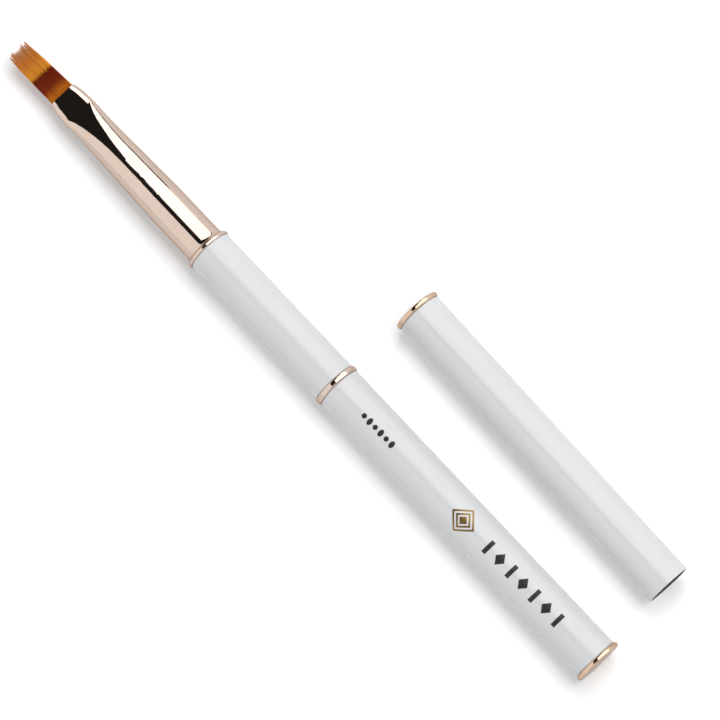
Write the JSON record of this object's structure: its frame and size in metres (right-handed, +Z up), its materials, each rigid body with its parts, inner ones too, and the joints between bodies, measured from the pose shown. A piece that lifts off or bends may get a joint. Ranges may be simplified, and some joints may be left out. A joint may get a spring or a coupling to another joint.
{
  "type": "flat nail brush",
  "caption": "Slim round-handled flat nail brush with plated ferrule, trim beads and a separate slip-on cap lying beside it.",
  "frame": {"origin": "middle of the set's footprint, on the table that the brush and its cap lie on", "axes": "+X along the handle from its tail to the bristle tips, +Z up, the cap lies on the -Y side"},
  "size_m": [0.1542, 0.029, 0.0094],
  "materials": {
    "white_lacquer": "gloss",
    "rose_gold": "polished",
    "moulded_plastic": "satin",
    "bristle_hair": "satin",
    "binding_thread": "matte",
    "cast_resin": "satin"
  },
  "bodies": {
    "handle": {"rear_barrel": "white_lacquer", "front_barrel": "white_lacquer", "middle_ring": "rose_gold", "tail_plug": "rose_gold", "ferrule": "rose_gold", "ferrule_collar": "rose_gold", "barrel_joiner": "moulded_plastic", "tail_sleeve": "moulded_plastic", "ferrule_core": "moulded_plastic", "bristle_root": "bristle_hair", "root_thread": "binding_thread", "root_resin": "cast_resin"},
    "tuft": {"bristles": "bristle_hair"},
    "cap": {"cap_tube": "white_lacquer", "cap_end_plug": "rose_gold", "cap_liner": "moulded_plastic"}
  },
  "joints": [
    {"name": "cap_slide", "type": "slide", "parent": "handle", "child": "cap", "axis": [0.9998, -0.0202, 0], "range_m": [0, 0.1014]},
    {"name": "bristle_flex", "type": "hinge", "parent": "handle", "child": "tuft", "pos_m": [0.06446, 0.00976, 0.0047], "axis": [0, 1, 0], "range_deg": [-25, 25], "stiffness_Nm_per_rad": 0.001}
  ]
}
